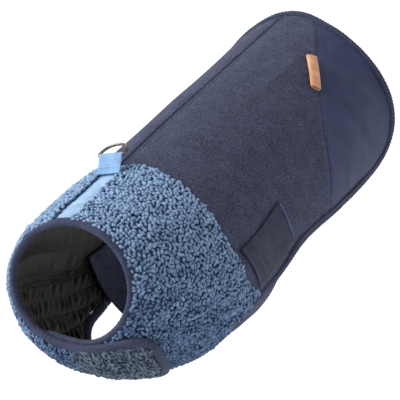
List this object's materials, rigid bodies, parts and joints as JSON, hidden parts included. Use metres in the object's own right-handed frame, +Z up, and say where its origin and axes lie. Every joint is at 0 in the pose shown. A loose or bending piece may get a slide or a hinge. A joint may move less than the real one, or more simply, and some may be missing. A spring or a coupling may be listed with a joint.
{
  "type": "dog winter coat, filled out as worn with no wearer",
  "caption": "Dog winter coat: curly sherpa yoke, fleece back, smooth tail panels, quilted lining, bound edges, wrap-over chest, belly strap and a D-ring in a webbing keeper.",
  "frame": {"origin": "The lining's inner face on the spine, over the withers, where the wearer's back holds the coat up.", "axes": "+X to the coat's left flank, +Y from the neck to the tail, +Z up, away from the wearer's back. X = 0 is the plane of symmetry of the cut."},
  "size_m": [0.2144, 0.5137, 0.2277],
  "materials": {
    "sherpa": "curly sherpa pile",
    "fleece": "napped microfleece",
    "smooth_weave": "smooth fine twill",
    "quilt": "quilted lining",
    "binding": "folded knit binding",
    "webbing": "ribbed webbing",
    "leather": "tan leather, folded",
    "metal": "dark nickel plate, worn"
  },
  "bodies": {
    "coat": {"yoke_left": "sherpa", "yoke_right": "sherpa", "back_left": "fleece", "back_right": "fleece", "tail_left": "smooth_weave", "tail_right": "smooth_weave", "patch_left": "smooth_weave", "patch_right": "smooth_weave", "lining_left": "quilt", "lining_right": "quilt", "hem_binding": "binding", "neck_binding": "binding", "leg_binding_left": "binding", "leg_binding_right": "binding", "webbing_strip": "webbing", "ring_keeper": "webbing", "leather_tab": "leather", "belly_strap": "fleece"},
    "ring": {"d_ring": "metal"}
  },
  "joints": [
    {"name": "ring_swing", "type": "hinge", "parent": "coat", "child": "ring", "pos_m": [0, -0.0175, 0.017], "axis": [1, 0, 0], "range_deg": [0, 165]}
  ]
}
